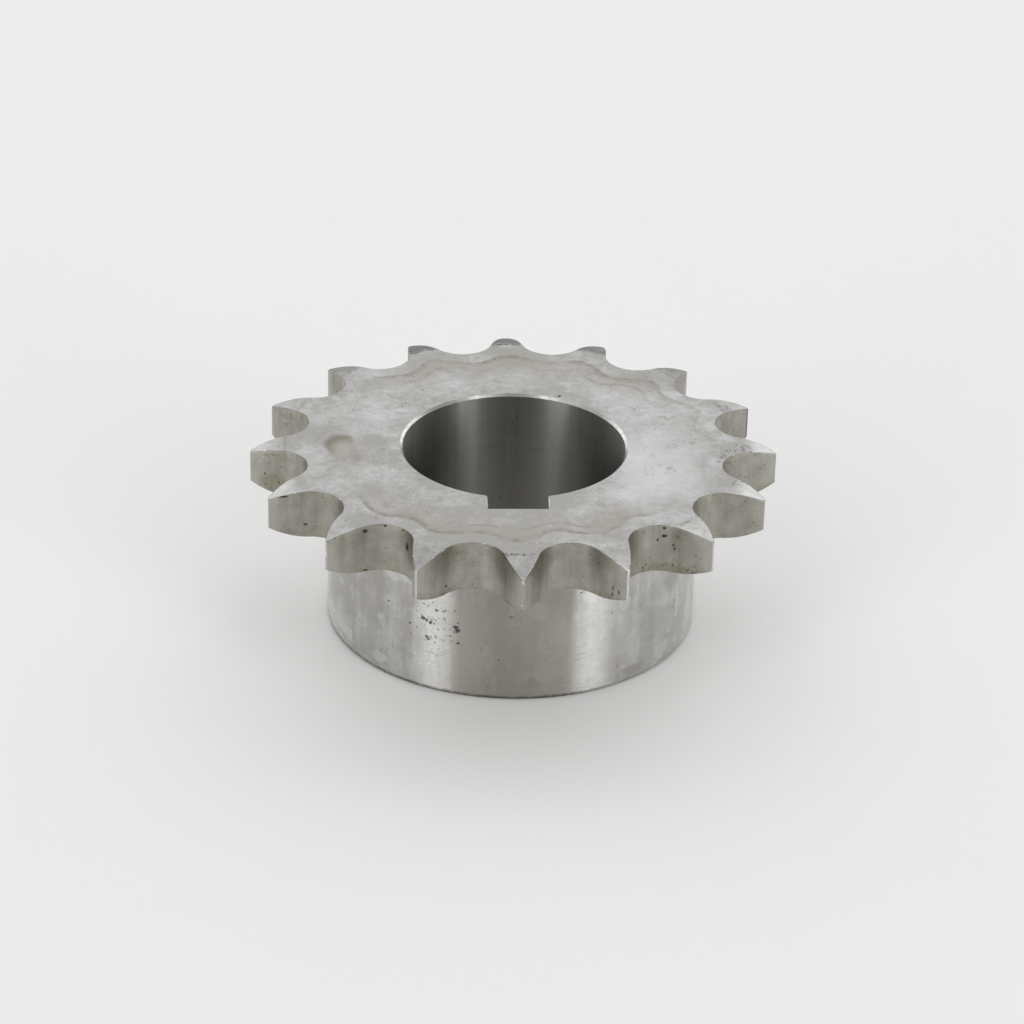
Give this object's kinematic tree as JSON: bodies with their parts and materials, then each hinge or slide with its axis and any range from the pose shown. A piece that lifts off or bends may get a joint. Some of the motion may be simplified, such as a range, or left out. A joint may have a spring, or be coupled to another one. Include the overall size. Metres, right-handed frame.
{
  "type": "roller chain sprocket",
  "caption": "Small drive sprocket for roller chain: a toothed rim on a one-sided hub, with a keyed through bore, machined from one piece of steel.",
  "frame": {"origin": "on the axis of the bore, at the free end face of the hub, which it rests on", "axes": "+Z along the bore, from the hub to the toothed rim; -Y through the keyway and the tooth over it"},
  "size_m": [0.0708, 0.0708, 0.025],
  "materials": {
    "machined_steel": "bare machined steel, faintly stained and pitted"
  },
  "bodies": {
    "root": {"sprocket": "machined_steel"}
  },
  "joints": []
}
